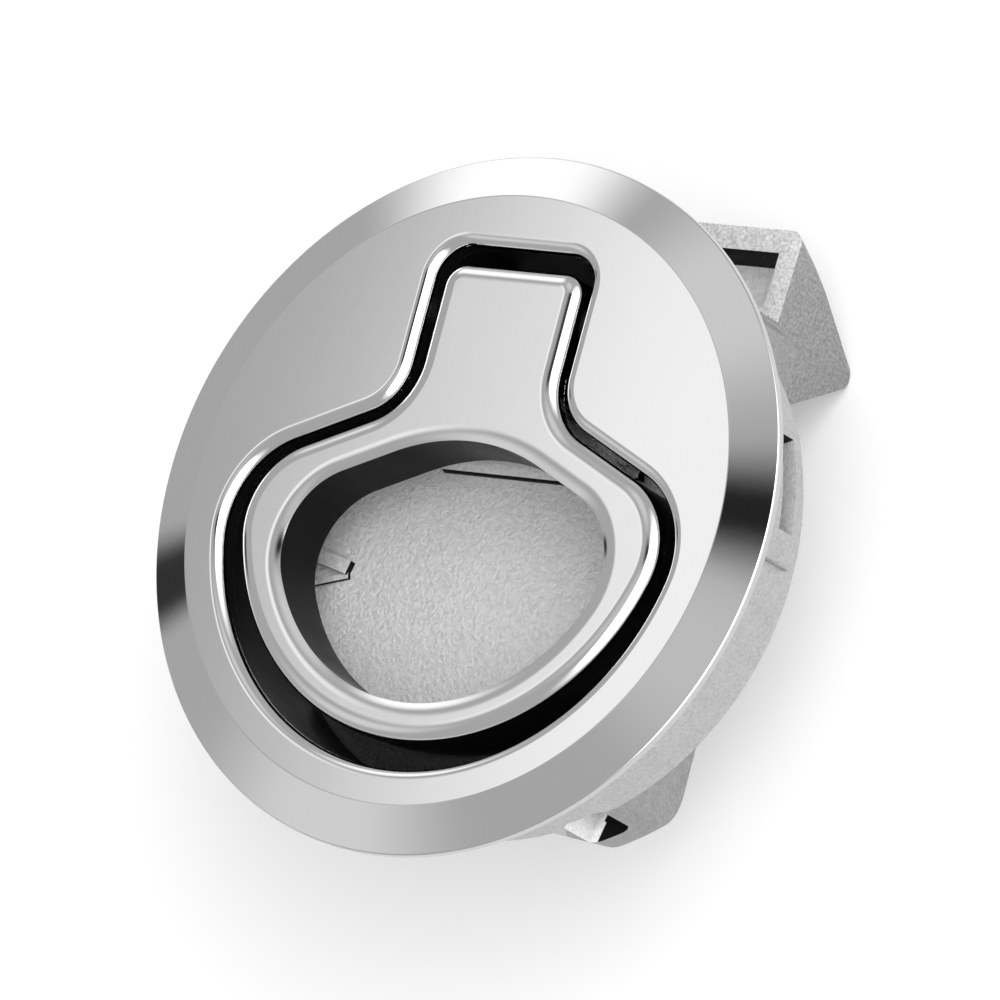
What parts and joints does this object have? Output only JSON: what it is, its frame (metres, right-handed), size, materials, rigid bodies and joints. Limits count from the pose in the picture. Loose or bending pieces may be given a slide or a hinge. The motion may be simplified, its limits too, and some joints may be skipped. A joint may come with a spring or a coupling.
{
  "type": "flush slam latch",
  "caption": "Round flush slam latch with a polished face, a hinged ring pull in a keyhole cup and a sprung wedge bolt behind.",
  "frame": {"origin": "centre of the face plate's underside, on the panel's surface", "axes": "+Z out of the face, +Y from the ring towards the bolt, +X to the right when the face is seen with the bolt up"},
  "size_m": [0.0608, 0.0622, 0.0334],
  "materials": {
    "polished_casting": "stainless casting, mirror polished in front and blasted behind",
    "polished_handle": "mirror polished stainless casting",
    "raw_casting": "blasted stainless casting",
    "turned_steel": "turned stainless steel",
    "spring_steel": "drawn stainless spring wire and strip",
    "sheet_steel": "rolled stainless sheet"
  },
  "bodies": {
    "housing": {"latch_body": "polished_casting", "hinge_pin": "turned_steel", "hinge_pin_clip": "spring_steel", "handle_spring": "spring_steel", "bolt_spring_left": "spring_steel", "bolt_spring_right": "spring_steel", "guide_pin": "turned_steel", "guide_pin_clip": "spring_steel", "spring_cover": "sheet_steel", "cover_screw_left": "turned_steel", "cover_screw_right": "turned_steel"},
    "handle": {"pull_handle": "polished_handle"},
    "bolt": {"latch_bolt": "raw_casting"}
  },
  "joints": [
    {"name": "handle_lift", "type": "hinge", "parent": "housing", "child": "handle", "pos_m": [0, 0.0168, -0.0024], "axis": [-1, 0, 0], "range_deg": [0, 35], "deforming": ["handle_spring"]},
    {"name": "bolt_slide", "type": "slide", "parent": "housing", "child": "bolt", "axis": [0, -1, 0], "range_m": [0, 0.0083], "stiffness_N_per_m": 800, "springref_m": -0.004, "deforming": ["bolt_spring_left", "bolt_spring_right"]}
  ],
  "couplings": [
    {"joint": "handle_lift", "follows": "bolt_slide", "rad_per_m": 73.529}
  ]
}
